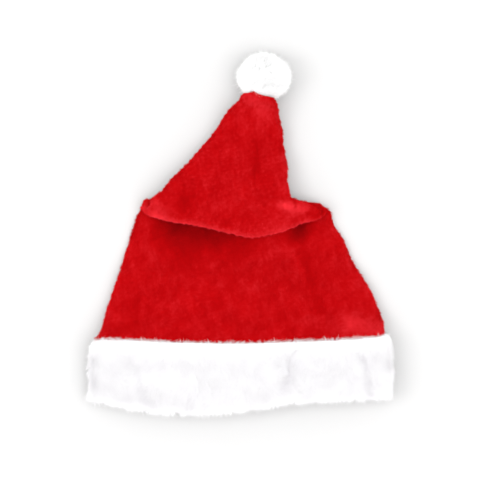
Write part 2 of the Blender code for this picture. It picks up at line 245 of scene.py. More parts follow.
# The plush ball against the solid, how far its pile reaches, how deep its roots lie below the core,
# and the dimple where the tip meets it: how wide, as an angle, and how deep.
POMPOM_TRIM = (1.0, 0.955, 1.05)
POMPOM_REACH, POMPOM_ROOT_DEPTH = 0.935, 0.06
CORE_DIMPLE_ANGLE, CORE_DIMPLE = 0.62, 0.22
PILE_DIMPLE_ANGLE, PILE_DIMPLE = 0.60, 0.30

# Painted highlights and painted shade on the red pile: lighter where its ridges and edges catch
# the light, darker along its folds and creases.
PAINTED_LIGHT_PATCHES = (
    # layer, from x, from y, to x, to y, width, tone
    ("body", 0.0584, -0.0197, 0.0808, -0.0752, 0.0045, -0.09),
    ("body", 0.0419, -0.0119, 0.0440, -0.0160, 0.0090, 0.05),
    ("body", 0.0682, -0.0801, 0.0720, -0.0830, 0.0080, 0.05),
    ("body", 0.1070, -0.0870, 0.1410, -0.0947, 0.0100, 0.18),
    ("body", 0.0930, 0.0060, 0.1280, -0.0660, 0.0060, 0.05),
    ("body", -0.1000, -0.0560, -0.1010, -0.0850, 0.0040, -0.05),
    ("body", -0.1230, -0.0660, -0.1300, -0.0940, 0.0060, 0.04),
    ("tip", 0.0080, 0.1310, 0.0270, 0.1200, 0.0100, 0.14),
    ("tip", 0.0165, 0.0900, 0.0165, 0.0560, 0.0045, -0.09),
    ("tip", 0.0146, 0.1080, 0.0150, 0.1060, 0.0060, 0.05),
    ("tip", -0.0050, 0.1140, -0.0080, 0.1110, 0.0060, 0.05),
    ("tip", 0.0370, 0.0275, 0.0610, 0.0240, 0.0046, 0.24),
    ("tip", 0.0425, 0.0270, 0.0450, 0.0260, 0.0040, 0.10),
    ("tip", 0.0500, 0.0350, 0.0520, 0.0262, 0.0011, -0.24),
    ("tip", 0.0660, 0.0200, 0.0770, 0.0160, 0.0050, -0.10),
    ("tip", 0.0330, 0.0040, 0.0440, 0.0040, 0.0045, 0.10),
    ("tip", -0.0880, 0.0260, -0.0780, 0.0230, 0.0080, 0.16),
    ("tip", -0.0880, 0.0290, -0.0800, 0.0330, 0.0030, 0.10),
    ("tip", 0.0400, 0.0750, 0.0480, 0.0400, 0.0050, 0.08),
    ("tip", 0.0280, 0.0090, 0.0440, 0.0120, 0.0080, 0.07),
    ("tip", 0.0815, 0.0170, 0.0825, 0.0165, 0.0025, 0.14),
    ("tip", -0.0560, 0.0300, -0.0490, 0.0390, 0.0090, -0.10),
)
# The creases' stretch, and how dark the painted shade in the cuff's creases is.
CREASE_ASPECT = CUFF_HEIGHT / HALF_CROWN
CREASE_SHADE = 0.20
# Painted highlight along the lap's edge, and painted shadow on the cloth below it.
LAP_EDGE_HIGHLIGHT, LAP_HIGHLIGHT_BAND = 0.32, 0.0042
LAP_PAINTED_SHADOW = (
    # across, tone, depth of the band
    (-1.00, -0.16, 0.0160),
    (-0.85, -0.32, 0.0200),
    (-0.65, -0.42, 0.0240),
    (-0.30, -0.34, 0.0200),
    (0.20, -0.10, 0.0140),
    (0.41, 0.02, 0.0100),
    (0.55, -0.08, 0.0110),
    (0.75, -0.42, 0.0150),
    (0.90, -0.14, 0.0110),
    (1.00, 0.06, 0.0080),
)
# The band's upper left corner is rounded: over this width, and this far down.
CORNER_WIDTH, CORNER_DROP = 0.0120, 0.0060
# The tip's end is blunt: how far it is set back, how much more at the right, and its peak.
END_DROP, END_SLANT = 0.0044, 0.0038
END_START = 0.80
END_PEAK, END_PEAK_WIDTH = 0.30, 0.11

# The photograph's frame.
FRAME_WIDTH = 0.4675
FRAME_MIDDLE = (0.0, -0.0071)
CAMERA_HEIGHT = 1.80
SCALE_PLANE = 0.018  # the height at which the frame is that wide
SENSOR_WIDTH = 36.0

# The surface and the light.
TABLE_COLOUR = (0.458, 0.456, 0.456, 1.0)
TABLE_REACH, TABLE_LEVEL = 6.0, -0.0002
WORLD_STRENGTH = 1.33
SOFTBOXES = (
    # name, location, size, power
    ("softbox_left", (-1.1, -0.1, 1.6), 0.9, 15.6),
    ("softbox_right", (0.8, -0.3, 1.9), 1.2, 15.6),
    ("softbox_top", (0.0, 0.1, 2.2), 1.4, 18.4),
)

RIDES_ON = "root"


def smooth_table(rows, at, column):
    """A column of a table at these values of its first one, on a smooth curve through its rows."""
    rows = np.array(rows)
    keys, values = rows[:, 0], rows[:, column]
    at = np.clip(at, keys[0], keys[-1])
    first = np.clip(np.searchsorted(keys, at, side="right") - 1, 0, len(keys) - 2)
    before = np.maximum(np.arange(len(keys)) - 1, 0)
    after = np.minimum(np.arange(len(keys)) + 1, len(keys) - 1)
    slopes = (values[after] - values[before]) / (keys[after] - keys[before])
    span = keys[first + 1] - keys[first]
    s = (at - keys[first]) / span
    return (
        values[first] * (1 + 2 * s) * (1 - s) ** 2
        + slopes[first] * span * s * (1 - s) ** 2
        + values[first + 1] * s * s * (3 - 2 * s)
        + slopes[first + 1] * span * s * s * (s - 1)
    )


def ease(value):
    value = np.clip(value, 0.0, 1.0)
    return value * value * (3 - 2 * value)


def rim_line(across):
    """The cuff's lower edge."""
    return -RIM_BOW * smooth_table(RIM_LINE, across, 1)


def top_line(across):
    """The cuff's upper edge."""
    return CUFF_HEIGHT + TOP_BOW - TOP_BOW * smooth_table(TOP_LINE, across, 1)


def shoulder_dip(across):
    """How much lower the shoulder lies towards its right end."""
    return SHOULDER_DIP * ease((across - 0.35) / 0.30) * (1 - 0.4 * ease((across - 0.85) / 0.15))


def shoulder_line(across):
    """The first fold, at the shoulder."""
    return CUFF_HEIGHT + BODY_LENGTH - SHOULDER_TILT * (across + 1) / 2 - shoulder_dip(across)


def lap_line(across, rise=0.0, sag=1.0):
    """The second fold, and with a rise and less sag a row of the tip above it."""
    ends = shoulder_line(across) - LAP_GAP
    level_ends = ends + (1 - sag) * (SHOULDER_TILT * across / 2 + shoulder_dip(across))
    return level_ends + rise - sag * LAP_DROP * smooth_table(LAP_LINE, across, 1)


def soft_lines(table, x, y, aspect=1.0):
    """The sum of a table's soft-edged lines at these places, with y stretched by aspect."""
    total = np.zeros_like(x)
    for from_x, from_y, to_x, to_y, width, depth in table:
        run = np.array((to_x - from_x, (to_y - from_y) * aspect))
        dx, dy = x - from_x, (y - from_y) * aspect
        share = np.clip((dx * run[0] + dy * run[1]) / run.dot(run), 0.0, 1.0)
        away = np.hypot(dx - share * run[0], dy - share * run[1])
        total += depth * np.exp(-((away / width) ** 2))
    return total


def ring_pattern(flat_steps, roll_steps):
    """Where a ring's points lie: on the flat, into the rolled edge, and how far round."""
    quarter = np.arange(roll_steps) / roll_steps * math.pi / 2
    flat = 1 - 2 * np.arange(flat_steps + 1) / flat_steps
    upper_flat = np.concatenate([np.ones(roll_steps), flat, -np.ones(roll_steps)])
    upper_edge = np.concatenate([np.cos(quarter), np.zeros(flat_steps + 1), -np.cos(quarter[::-1])])
    upper_turn = np.concatenate([np.sin(quarter), np.ones(flat_steps + 1), np.sin(quarter[::-1])])
    upper = (upper_flat, upper_edge, upper_turn)
    return tuple(np.concatenate([part, -part[1:-1]]) for part in upper)


FLAT, EDGE, TURN = ring_pattern(FLAT_STEPS, ROLL_STEPS)
RING = len(FLAT)


class Section:
    """One closed loop round the flattened tube, as in the part's source."""

    def __init__(self, left, right, line, level, up, down, roll=HALF_FOLDED, pitch=0.0, along=None):
        self.left, self.right = left, right
        self.line, self.level = line, level
        self.up, self.down = up, down
        self.roll = min(roll, up, down)
        self.pitch = pitch
        self.along = along

    def across(self):
        half = (self.right - self.left) / 2
        return np.clip(((half - self.roll) * FLAT + self.roll * EDGE) / half, -1.0, 1.0)

    def loop(self, grow):
        middle, half = (self.left + self.right) / 2, (self.right - self.left) / 2
        x = (half - self.roll) * FLAT + (self.roll + grow) * EDGE
        across = np.clip(x / half, -1.0, 1.0)
        dents = soft_lines(DENTS, across, self.along) if self.along is not None else 0.0
        front = (self.up - self.roll) * (1 - np.abs(across) ** FRONT_ROUNDNESS) - dents
        back = (self.down - self.roll) * ease((1 - np.abs(across)) / BACK_EDGE)
        rise = TURN * (self.roll + grow) + TURN * np.where(TURN > 0, front, back)
        return np.stack(
            [
                middle + x,
                self.line(across) - math.sin(self.pitch) * rise,
                self.level + math.cos(self.pitch) * rise,
            ],
            axis=1,
        )


def hem_section(line):
    half = HEM_THICKNESS / 2
    return Section(-HALF_CROWN, HALF_CROWN, line, HEM_LIFT + half, half, half, roll=HEM_ROLL)


def hem_line(across):
    return rim_line(across) + HEM_INSET + SEAM_GAP


def between(low, high, share):
    return lambda across: low(across) + share * (high(across) - low(across))


def body_section(along):
    """The body's loop at this share of the way from the cuff's top to the shoulder."""
    left, right, lift, plump = (float(smooth_table(BODY_ROWS, along, c)) for c in range(1, 5))
    thickness = FOLDED + max(plump, 0.0) * (HEM_THICKNESS - FOLDED)
    down = max(HALF_FOLDED, thickness * (0.40 + 0.10 * lift))
    roll = HALF_FOLDED + (HEM_ROLL - HALF_FOLDED) * float(ease(lift))
    return Section(
        HALF_CROWN * left,
        HALF_CROWN * right,
        between(top_line, shoulder_line, along),
        max(lift, 0.0) * HEM_LIFT + down,
        thickness - down,
        down,
        roll=roll,
        along=along,
    )


def bend_sections(line, centre, turn_from, edges, outward, corners):
    """The loops round one fold, from its first pair of edges to its second."""
    for step in range(BEND_STEPS + 1):
        share = step / BEND_STEPS
        pitch = turn_from + outward * math.pi * share
        left, right = (edges[0][s] + share * (edges[1][s] - edges[0][s]) for s in (0, 1))
        left_inward, right_inward = (size * math.sin(math.pi * share) for size in corners)
        lean = outward * BEND_RADIUS * abs(math.sin(pitch))
        level = centre - outward * BEND_RADIUS * math.cos(pitch)
        yield Section(
            left + left_inward,
            right - right_inward,
            lambda across, lean=lean: line(across) + lean,
            level,
            HALF_FOLDED,
            HALF_FOLDED,
            pitch=pitch,
        )


def tip_section(rise):
    """The tip's loop at this share of its length."""
    left, right, sag, stack, seat, plump = (
        float(smooth_table(TIP_ROWS, rise, c)) for c in range(1, 7)
    )
    plump, sag = max(plump, 0.0), max(sag, 0.0)
    thickness = FOLDED + plump * TIP_PLUMP
    low = max(stack, 0.0) * STACK + max(seat, 0.0) * SEAT_HEIGHT * POMPOM_HEIGHT
    return Section(
        HALF_CROWN * left,
        HALF_CROWN * right,
        lambda across: lap_line(across, rise * TIP_LENGTH, sag),
        low + thickness / 2,
        thickness / 2,
        thickness / 2,
        roll=HALF_FOLDED + 0.5 * plump * TIP_PLUMP,
    )


def tip_rise(step):
    """The share of the tip's length at which this row lies."""
    return TIP_END * (step / TIP_STEPS) ** TIP_SPACING


def crown_sections():
    """The sections from hem to tip, and for each what part of the crown it belongs to."""
    hem = [hem_section(between(hem_line, top_line, k / HEM_STEPS)) for k in range(HEM_STEPS + 1)]
    body = [body_section(k / BODY_STEPS) for k in range(1, BODY_STEPS)]
    shoulder, crease = (
        [HALF_CROWN * share for share in row[1:3]] for row in (BODY_ROWS[-1], TIP_ROWS[0])
    )
    low, high = HALF_FOLDED + BEND_RADIUS, HALF_FOLDED + 3 * BEND_RADIUS
    turned = [shoulder[0], shoulder[1] - TURN_INSET]
    first = list(bend_sections(shoulder_line, low, 0.0, (shoulder, turned), 1, SHOULDER_CORNERS))
    second = list(bend_sections(lap_line, high, math.pi, (turned, crease), -1, LAP_CORNERS))
    tip = [tip_section(tip_rise(k)) for k in range(1, TIP_STEPS + 1)]
    parts = (("hem", hem), ("body", body), ("shoulder", first), ("lap", second), ("tip", tip))
    kinds = [kind for kind, part in parts for _ in part]
    return [section for _, part in parts for section in part], np.array(kinds)


# Origin in the part's own frame: the middle of the outline.
END_SECTION = tip_section(TIP_END)
END_X = (END_SECTION.left + END_SECTION.right) / 2
END_Y = float(END_SECTION.line(np.array(0.0)))
POMPOM_MIDDLE = np.array((END_X + POMPOM_SIDE_STEP, END_Y + POMPOM_BEYOND_TIP, POMPOM_HEIGHT / 2))
SHIFT = np.array((0.0, -(POMPOM_MIDDLE[1] + POMPOM_LENGTH / 2 - RIM_BOW) / 2, 0.0))
POMPOM_MIDDLE = POMPOM_MIDDLE + SHIFT - np.array((0.0, POMPOM_SINK, 0.0))


def unit(vectors):
    return vectors / np.maximum(np.linalg.norm(vectors, axis=-1, keepdims=True), 1e-12)


class Waves:
    """A smooth random field: a sum of plane waves of about one wavelength."""

    def __init__(self, seed, wavelength, count=14):
        chance = np.random.default_rng(seed)
        self.direction = unit(chance.normal(size=(count, 3)))
        self.direction *= 2 * math.pi / (wavelength * chance.uniform(0.65, 1.6, (count, 1)))
        self.phase = chance.uniform(0, 2 * math.pi, count)

    def __call__(self, points):
        flat = points.reshape(-1, 3)
        total = np.zeros(len(flat))
        for direction, phase in zip(self.direction, self.phase):
            total += np.sin(flat @ direction + phase)
        return (total * math.sqrt(2 / len(self.phase))).reshape(points.shape[:-1])


class Grid:
    """Rows of ring points with their normals and the direction along the rows."""

    def __init__(self, points, wrap_rows=False):
        self.points = points
        if wrap_rows:
            along = np.roll(points, -1, 0) - np.roll(points, 1, 0)
        else:
            along = np.gradient(points, axis=0)
        around = np.roll(points, -1, 1) - np.roll(points, 1, 1)
        self.along = unit(along)
        normals = np.cross(along, around)
        size = np.linalg.norm(normals, axis=-1)
        ring_out = unit(points - points.mean(axis=1, keepdims=True))
        normals = np.where((size < 1e-11)[..., None], ring_out, normals)
        self.normals = unit(normals)
        self.wrap_rows = wrap_rows

    def cells(self):
        rows, ring = self.points.shape[:2]
        r = np.arange(rows if self.wrap_rows else rows - 1)
        k = np.arange(ring)
        r, k = (a.reshape(-1) for a in np.meshgrid(r, k, indexing="ij"))
        return r, k, (r + 1) % rows, (k + 1) % ring

    def quads(self, start=0):
        r, k, r2, k2 = self.cells()
        ring = self.points.shape[1]
        return np.stack([r * ring + k, r2 * ring + k, r2 * ring + k2, r * ring + k2], 1) + start

    def scatter(self, chance, count, weight):
        """Random places on the surface, as dense as the weight of the row and ring corners says."""
        r, k, r2, k2 = self.cells()
        p = self.points
        area = np.linalg.norm(np.cross(p[r2, k2] - p[r, k], p[r2, k] - p[r, k2]), axis=1) / 2
        share = area * (weight[r, k] + weight[r2, k] + weight[r, k2] + weight[r2, k2]) / 4
        cell = chance.choice(len(r), size=count, p=share / share.sum())
        r, k, r2, k2 = r[cell], k[cell], r2[cell], k2[cell]
        u, v = chance.random((2, count, 1))

        def mix(values):
            low = values[r, k] * (1 - v) + values[r, k2] * v
            high = values[r2, k] * (1 - v) + values[r2, k2] * v
            return low * (1 - u) + high * u

        return mix(p), unit(mix(self.normals)), unit(mix(self.along)), r + u[:, 0]


def lifted(points, lift, wrap_rows=False):
    """A grid of these points, lifted along their normals except on the flat underside."""
    normals = Grid(points, wrap_rows).normals
    lift = np.where(TURN[None] < -0.5, 0.0, lift)
    return Grid(points + normals * lift[..., None], wrap_rows)


def new_object(name, data):
    obj = bpy.data.objects.new(name, data)
    bpy.context.collection.objects.link(obj)
    return obj


def plush_object(mesh, tones, material):
    """The object of a mesh, shaded smooth. tones says how light the pile is at each point, painted
    shade and painted highlights included.
    """
    mesh.shade_smooth()
    attribute = mesh.attributes.new("tone", "FLOAT", "POINT")
    attribute.data.foreach_set("value", tones.astype(np.float32).reshape(-1))
    mesh.materials.append(material)
    return new_object(mesh.name, mesh)


def skin_mesh(name, points, faces, tone, material):
    mesh = bpy.data.meshes.new(name)
    mesh.from_pydata([tuple(p) for p in points], [], [tuple(map(int, f)) for f in faces])
    mesh.validate()
    return plush_object(mesh, np.full(len(points), tone), material)


def strand_mesh(name, joints, half_width, outward, shade_normals, tones, material):
    """Tapering strands with their flats outward. joints holds each one's places, root to tip."""
    count, levels = joints.shape[:2]
    side = unit(np.cross(outward, joints[:, -1] - joints[:, 0])) * half_width[:, None]
    taper = np.linspace(1.0, 0.0, levels) ** 0.6
    pairs = [joints[:, i] + sign * side * taper[i] for i in range(levels - 1) for sign in (1, -1)]
    points = np.stack(pairs + [joints[:, -1]], axis=1)
    per = points.shape[1]
    faces = []
    for i in range(levels - 2):
        a = 2 * i
        faces += [(a, a + 1, a + 3), (a, a + 3, a + 2)]
    faces.append((per - 3, per - 2, per - 1))
    faces = (np.array(faces)[None] + np.arange(count)[:, None, None] * per).reshape(-1, 3)

    mesh = bpy.data.meshes.new(name)
    mesh.vertices.add(count * per)
    mesh.vertices.foreach_set("co", points.astype(np.float32).reshape(-1))
    mesh.loops.add(len(faces) * 3)
    mesh.loops.foreach_set("vertex_index", faces.astype(np.int32).reshape(-1))
    mesh.polygons.add(len(faces))
    mesh.polygons.foreach_set("loop_start", (np.arange(len(faces)) * 3).astype(np.int32))
    mesh.update(calc_edges=True)
    levels_of = np.array([i for i in range(levels - 1) for _ in (0, 1)] + [levels - 1])
    # Each strand's tone runs from the painted shade at its root to its tip's tone.
    tone = tones[0][:, None] + (tones[1] - tones[0])[:, None] * (levels_of / (levels - 1))[None]
    obj = plush_object(mesh, tone, material)
    normals = np.repeat(shade_normals, per, axis=0).astype(np.float32)
    mesh.normals_split_custom_set_from_vertices(normals)
    return obj


def set_inputs(made, **inputs):
    """Values for a node's inputs, named with underscores for spaces."""
    for key, value in inputs.items():
        made.inputs[key.replace("_", " ")].default_value = value


def node(tree, kind, **inputs):
    made = tree.nodes.new(kind)
    set_inputs(made, **inputs)
    return made


def added(tree, first, second):
    """A node that adds two outputs."""
    total = tree.nodes.new("ShaderNodeMath")
    total.operation = "ADD"
    tree.links.new(first, total.inputs[0])
    tree.links.new(second, total.inputs[1])
    return total


LIGHT_THROUGH = 0.48


def plush(name, shades, sheen, sheen_tint, patch_size, patch_strength):
    """Pile by its tone: painted shade at the dark end, painted highlight at the light end. Fibres
    let a share of the light through.
    """
    material = bpy.data.materials.new(name)
    material.use_nodes = True
    tree = material.node_tree
    link = tree.links.new
    shader = tree.nodes["Principled BSDF"]
    set_inputs(shader, Roughness=1.0, Specular_IOR_Level=0.05)
    set_inputs(shader, Sheen_Weight=sheen, Sheen_Roughness=0.45, Sheen_Tint=(*sheen_tint, 1.0))
    place = tree.nodes.new("ShaderNodeTexCoord").outputs["Object"]
    patches = node(tree, "ShaderNodeTexNoise", Scale=1.0 / patch_size, Detail=3.0, Roughness=0.55)
    grain = node(tree, "ShaderNodeTexNoise", Scale=900.0, Detail=1.0)
    spread = node(tree, "ShaderNodeMapRange", From_Min=0.3, From_Max=0.7)
    fine = node(tree, "ShaderNodeMapRange")
    for noise, scaled in ((patches, spread), (grain, fine)):
        set_inputs(scaled, To_Min=-patch_strength, To_Max=patch_strength)
        link(place, noise.inputs["Vector"])
        link(noise.outputs["Fac"], scaled.inputs["Value"])
    tone = tree.nodes.new("ShaderNodeAttribute")
    tone.attribute_name = "tone"
    total = added(tree, tone.outputs["Fac"], spread.outputs["Result"])
    final = added(tree, total.outputs["Value"], fine.outputs["Result"])
    final.use_clamp = True
    ramp = tree.nodes.new("ShaderNodeValToRGB")
    ramp.color_ramp.elements.new(0.5)
    for element, shade in zip(ramp.color_ramp.elements, shades):
        element.color = (*shade, 1.0)
    link(final.outputs["Value"], ramp.inputs["Fac"])
    link(ramp.outputs["Color"], shader.inputs["Base Color"])
    glow = tree.nodes.new("ShaderNodeBsdfTranslucent")
    link(ramp.outputs["Color"], glow.inputs["Color"])
    mixed = node(tree, "ShaderNodeMixShader", Fac=LIGHT_THROUGH)
    link(shader.outputs["BSDF"], mixed.inputs[1])
    link(glow.outputs["BSDF"], mixed.inputs[2])
    link(mixed.outputs["Shader"], tree.nodes["Material Output"].inputs["Surface"])
    return material


# Colours of the pile by its tone: the dark end is painted shade, the middle the pile's own colour,
# the light end a painted highlight.
RED_SHADES = ((0.25, 0.0009, 0.0020), (0.59, 0.0020, 0.0040), (0.93, 0.0520, 0.0720))
WHITE_SHADES = ((0.72, 0.70, 0.73), (0.885, 0.880, 0.887), (0.985, 0.985, 0.985))
RED_PLUSH = plush(
    "red_plush",
    RED_SHADES,
    sheen=0.06,
    sheen_tint=(1.0, 0.05, 0.07),
    patch_size=0.020,
    patch_strength=0.03,
)
WHITE_PLUSH = plush(
    "white_plush",
    WHITE_SHADES,
    sheen=0.10,
    sheen_tint=(1.0, 1.0, 1.0),
    patch_size=0.016,
    patch_strength=0.04,
)


def open_depth(grid, tree, rays):
    """For each grid corner the share of directions over it that aren't blocked nearby."""
    chance = np.random.default_rng(11)
    points, normals = grid.points.reshape(-1, 3), grid.normals.reshape(-1, 3)
    free = np.zeros(len(points))
    spread = unit(chance.normal(size=(rays, 3))) * COVER_SPREAD
    for shift in spread:
        directions = unit(normals + shift)
        for i, (point, normal, direction) in enumerate(zip(points, normals, directions)):
            start = Vector(point + normal * COVER_START)
            if tree.ray_cast(start, Vector(direction), COVER_REACH)[0] is None:
                free[i] += 1
    return (free / rays).reshape(grid.points.shape[:2])


# The crown.
sections, kinds = crown_sections()
rows = np.stack([s.loop(-CROWN_SKIN) for s in sections]) + SHIFT
# The layer between the two bends gets rows of its own.
turn_back = int(np.flatnonzero(kinds == "shoulder")[-1])
shares = np.arange(1, LAP_STEPS + 1) / (LAP_STEPS + 1)
middle_layer = rows[turn_back] + shares[:, None, None] * (rows[turn_back + 1] - rows[turn_back])
rows = np.concatenate([rows[: turn_back + 1], middle_layer, rows[turn_back + 1 :]])
kinds = np.concatenate([kinds[: turn_back + 1], ["middle"] * LAP_STEPS, kinds[turn_back + 1 :]])

end_width = END_SECTION.right - END_SECTION.left
for step, k in enumerate(np.flatnonzero(kinds == "tip"), start=1):
    across = np.clip((rows[k, :, 0] - END_SECTION.left) / end_width, 0, 1.2)
    drop = END_DROP * (1 - 0.4 * np.exp(-(((across - END_PEAK) / END_PEAK_WIDTH) ** 2)))
    drop += END_SLANT * ease((across - 0.35) / 0.5)
    rows[k, :, 1] -= drop * ease((tip_rise(step) - END_START) / (TIP_END - END_START))

loose = np.isin(kinds, ("body", "tip")).astype(float)
calm = np.convolve(loose, np.ones(9) / 9, mode="same")[:, None] * np.ones(RING)
folds = Waves(3, FOLD_WAVE)(rows * np.array(FOLD_STRETCH)) * FOLD_HEIGHT
ripples = Waves(5, RIPPLE_WAVE)(rows) * RIPPLE_HEIGHT
crown_grid = lifted(rows, (folds + ripples) * calm)

inner_rows = [i for i, kind in enumerate(kinds) if kind in ("hem", "body")][:-2:3]
inner = np.stack([s.loop(-CLOTH) for s in sections])[inner_rows] + SHIFT
inner_grid = Grid(inner)


def crown_skin():
    """The crown's outside with its end closed, and its inside up to near the first fold."""
    outer_points = crown_grid.points.reshape(-1, 3)
    inner_points = inner_grid.points.reshape(-1, 3)
    start = len(outer_points)
    faces = [tuple(f) for f in crown_grid.quads()]
    faces += [tuple(f[::-1]) for f in inner_grid.quads(start)]
    ring = np.arange(RING)
    nxt = (ring + 1) % RING
    faces += [(k, n, start + n, start + k) for k, n in zip(ring, nxt)]
    ends = [crown_grid.points[-1].mean(axis=0), inner_grid.points[-1].mean(axis=0)]
    last_outer, last_inner = start - RING, start + len(inner_points) - RING
    tip, deep = start + len(inner_points), start + len(inner_points) + 1
    faces += [(last_outer + k, tip, last_outer + n) for k, n in zip(ring, nxt)]
    faces += [(last_inner + n, deep, last_inner + k) for k, n in zip(ring, nxt)]
    points = np.concatenate([outer_points, inner_points, np.array(ends)])
    return skin_mesh("crown_skin", points, faces, CROWN_SKIN_TONE, RED_PLUSH)


# The cuff.
OUTSIDE = SEAM_GAP + CUFF_PILE - CUFF_SKIN
SLOT_IN = -CLOTH - SEAM_GAP
INSIDE = SLOT_IN - FACING


def shifted(line, amount):
    return lambda across: line(across) + amount


def cuff_profile():
    """Rings round the band's section: (offset from the hem, line, strand length share)."""
    low, high = shifted(rim_line, CUFF_RIM_INSET), shifted(top_line, -CUFF_TOP_INSET)
    last = CUFF_OUTER_ROWS - 1
    found = [
        (OUTSIDE, between(low, high, k / last), min(1.0, 0.55 + 0.15 * (last - k)))
        for k in range(CUFF_OUTER_ROWS)
    ]
    mid, half = (OUTSIDE + SEAM_GAP) / 2, (OUTSIDE - SEAM_GAP) / 2
    for turn in CUFF_TOP_TURNS:
        angle = math.pi * turn
        line = shifted(top_line, 1.2 * half * math.sin(angle) - CUFF_TOP_INSET)
        found.append((mid + half * math.cos(angle), line, 0.65 - 0.3 * turn))
    found.append((SEAM_GAP, high, 0.0))
    found.append((SEAM_GAP, shifted(rim_line, HEM_INSET), 0.0))
    found.append((SLOT_IN, shifted(rim_line, HEM_INSET), 0.0))
    found.append((SLOT_IN, shifted(rim_line, FACING_HEIGHT), 0.0))
    found.append((INSIDE, shifted(rim_line, FACING_HEIGHT - FACING_EDGE), 0.3))
    facing_reach = FACING_HEIGHT - (FACING_EDGE + CUFF_RIM_INSET)
    for share in (0.75, 0.5, 0.25, 0.0):
        line = shifted(rim_line, CUFF_RIM_INSET + share * facing_reach)
        found.append((INSIDE, line, 0.35 + 0.35 * (1 - share)))
    mid, half = (OUTSIDE + INSIDE) / 2, (OUTSIDE - INSIDE) / 2
    for turn in (0.17, 0.33, 0.5, 0.67, 0.83):
        angle = math.pi * turn
        line = shifted(rim_line, CUFF_RIM_INSET - half * math.sin(angle))
        found.append((mid - half * math.cos(angle), line, 0.8))
    return found


profile = cuff_profile()
cuff_lengths = np.array([share for _, _, share in profile])
cuff_rows = np.stack([hem_section(line).loop(offset) for offset, line, _ in profile])
cuff_across = hem_section(rim_line).across()
for r in range(CUFF_OUTER_ROWS):
    share = r / (CUFF_OUTER_ROWS - 1)
    cuff_rows[r, :, 2] -= soft_lines(CREASES, cuff_across, share) * (TURN > 0)
height = (cuff_rows[..., 1] - rim_line(cuff_across)) / CUFF_HEIGHT
at_left = ease((-cuff_rows[..., 0] - HALF_CROWN + CORNER_WIDTH / 2) / CORNER_WIDTH)
cuff_rows[..., 1] -= CORNER_DROP * at_left * ease((height - 0.6) / 0.5)
cuff_rows = cuff_rows + SHIFT
outer = (np.arange(len(profile)) < CUFF_OUTER_ROWS)[:, None]
cuff_lift = Waves(8, CUFF_WAVE)(cuff_rows) * CUFF_WAVE_HEIGHT * outer
cuff_grid = lifted(cuff_rows, cuff_lift, wrap_rows=True)


def cuff_skin():
    points = cuff_grid.points.reshape(-1, 3)
    return skin_mesh("cuff_skin", points, cuff_grid.quads(), CUFF_SKIN_TONE, WHITE_PLUSH)


def tip_pull():
    """Where the tip presses into the pompom, as a direction from the ball's middle."""
    middle = np.array((END_X, END_Y - POMPOM_LENGTH / 3, END_SECTION.level + END_SECTION.up))
    return unit(middle + SHIFT - POMPOM_MIDDLE)


TO_TIP = tip_pull()
POMPOM_RADII = np.array((POMPOM_WIDTH, POMPOM_LENGTH, POMPOM_HEIGHT)) * POMPOM_TRIM / 2


def sphere_directions(count, chance):
    """Directions spread evenly over a sphere, each a little off its place."""
    k = np.arange(count) + 0.5
    z = 1 - 2 * k / count
    turn = math.pi * (1 + math.sqrt(5)) * k
    flat = np.sqrt(1 - z * z)
    found = np.stack([flat * np.cos(turn), flat * np.sin(turn), z], axis=1)
    return unit(found + chance.normal(size=(count, 3)) * 0.6 / math.sqrt(count))


def pompom_core():
    ball = bmesh.new()
    bmesh.ops.create_icosphere(ball, subdivisions=4, radius=1.0)
    for vert in ball.verts:
        outward = np.array(vert.co.normalized())
        angle = math.acos(np.clip(outward @ TO_TIP, -1, 1))
        near = math.exp(-((angle / CORE_DIMPLE_ANGLE) ** 2))
        vert.co = POMPOM_MIDDLE + outward * POMPOM_RADII * (POMPOM_CORE - CORE_DIMPLE * near)
    mesh = bpy.data.meshes.new("pompom_core")
    ball.to_mesh(mesh)
    ball.free()
    return plush_object(mesh, np.full(len(mesh.vertices), POMPOM_CORE_TONE), WHITE_PLUSH)


crown_obj = crown_skin()
cuff_obj = cuff_skin()
core_obj = pompom_core()


def tree_of(*objs):
    """All these objects' faces, for casting rays at them."""
    points, faces = [], []
    for obj in objs:
        start = len(points)
        points += [v.co.copy() for v in obj.data.vertices]
        faces += [tuple(start + i for i in p.vertices) for p in obj.data.polygons]
    return BVHTree.FromPolygons(points, faces)


skins = tree_of(crown_obj, cuff_obj, core_obj)
crown_open = open_depth(crown_grid, skins, rays=7)
cuff_open = open_depth(cuff_grid, skins, rays=5)


UP = np.array((0.0, 0.0, 1.0))


def drooped(normals, nap):
    """The pile's direction, turned down where the surface stands upright."""
    sideways = 1 - np.abs(normals[:, 2:])
    nap = nap - 1.6 * UP * ease(sideways)
    return unit(nap - normals * (nap * normals).sum(axis=1, keepdims=True))


def tangent_frame(normals, along):
    across = unit(np.cross(normals, along))
    return across, unit(np.cross(across, normals))


def facing_up(shade, normals, reach, strength):
    """Shading normals turned up towards the light, less so on the underside."""
    return unit(shade + UP * ease((normals[:, 2:] + reach) / reach) * strength)


def painted_light_tone(points, layer):
    """Painted highlights and shade: how much lighter or darker the pile is painted at these places
    of the crown's body or its tip.
    """
    x, y = points[:, 0], points[:, 1]
    tone = soft_lines([row[1:] for row in PAINTED_LIGHT_PATCHES if row[0] == layer], x, y)
    crease = [HALF_CROWN * share for share in TIP_ROWS[0][1:3]]
    across = (x - sum(crease) / 2) / (crease[1] - crease[0]) * 2
    held = np.clip(across, -1, 1)
    edge = lap_line(held) - BEND_RADIUS - HALF_FOLDED + SHIFT[1]
    inside = ease((1.04 - np.abs(across)) / 0.10)
    # Painted highlight along the lap's edge on the tip; painted shadow below it on the body.
    if layer == "tip":
        tone += LAP_EDGE_HIGHLIGHT * inside * np.exp(-((np.maximum(y - edge, 0) / LAP_HIGHLIGHT_BAND) ** 2))
    else:
        shade, band = smooth_table(LAP_PAINTED_SHADOW, held, 1), smooth_table(LAP_PAINTED_SHADOW, held, 2)
        tone += shade * inside * np.exp(-((np.maximum(edge - y, 0) / band) ** 2))
    return tone


